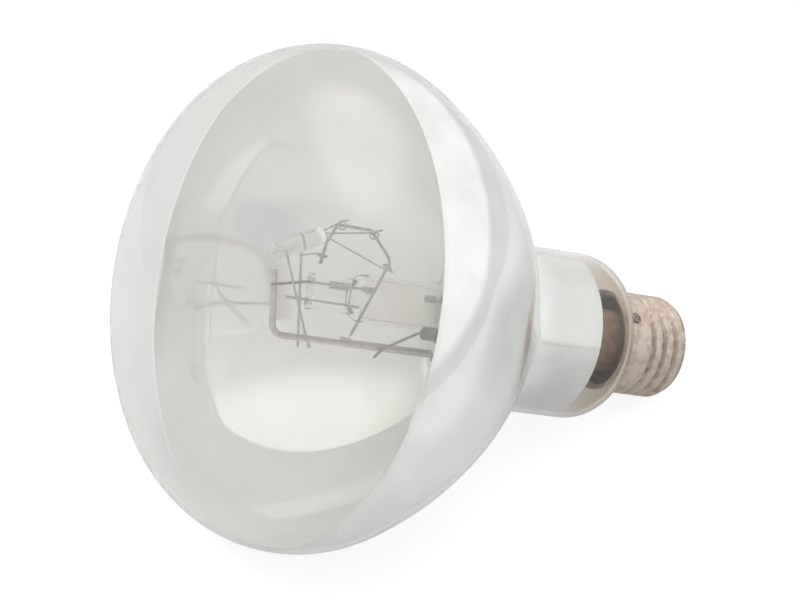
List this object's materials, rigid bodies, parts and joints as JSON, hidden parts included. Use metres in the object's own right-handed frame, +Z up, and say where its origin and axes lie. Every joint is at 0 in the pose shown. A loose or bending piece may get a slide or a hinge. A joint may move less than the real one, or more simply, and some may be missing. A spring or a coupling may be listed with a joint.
{
  "type": "reptile ultraviolet bulb",
  "caption": "Self-ballasted ultraviolet reflector bulb for a terrarium: clear domed face, mirrored bowl, straight neck and screw cap, with a quartz burner and a coiled filament inside.",
  "frame": {"origin": "on the floor, under the middle of the lamp's length, as the lamp lies on its globe and its cap", "axes": "+X from the face towards the cap, level with the floor; +Z up; the lamp's axis lies in the XZ plane"},
  "size_m": [0.1506, 0.125, 0.1187],
  "materials": {
    "envelope_glass": "clear, smooth",
    "mirror_film": "evaporated aluminium",
    "stem_glass": "clear, fire-polished",
    "quartz": "clear with a faint bloom",
    "cap_metal": "nickel plated, slightly stained",
    "black_glass": "opaque, glossy",
    "contact_brass": "bare brass",
    "solder": "dull solder",
    "cement": "baked cement, brown",
    "nickel_wire": "drawn nickel wire",
    "tungsten": "dark drawn tungsten",
    "molybdenum": "rolled foil",
    "resistor_body": "matt black",
    "mercury": "liquid metal"
  },
  "bodies": {
    "root": {"glass_envelope": "envelope_glass", "mirror_coating": "mirror_film", "stem": "stem_glass", "exhaust_tube": "stem_glass", "support_bead": "stem_glass", "burner_tube": "quartz", "screw_shell": "cap_metal", "cap_insulator": "black_glass", "contact_plate": "contact_brass", "contact_solder": "solder", "side_solder": "solder", "cap_cement": "cement", "contact_lead": "nickel_wire", "shell_lead": "nickel_wire", "burner_frame": "nickel_wire", "front_lead": "nickel_wire", "rear_lead": "nickel_wire", "filament_lead": "nickel_wire", "front_stay": "nickel_wire", "rear_stay": "nickel_wire", "resistor_front_lead": "nickel_wire", "resistor_rear_lead": "nickel_wire", "front_electrode": "tungsten", "rear_electrode": "tungsten", "starter_electrode": "tungsten", "ballast_filament": "tungsten", "near_support": "tungsten", "upper_support": "tungsten", "far_support": "tungsten", "end_support": "tungsten", "front_foil": "molybdenum", "rear_foil": "molybdenum", "start_resistor": "resistor_body", "mercury_drop": "mercury"}
  },
  "joints": []
}
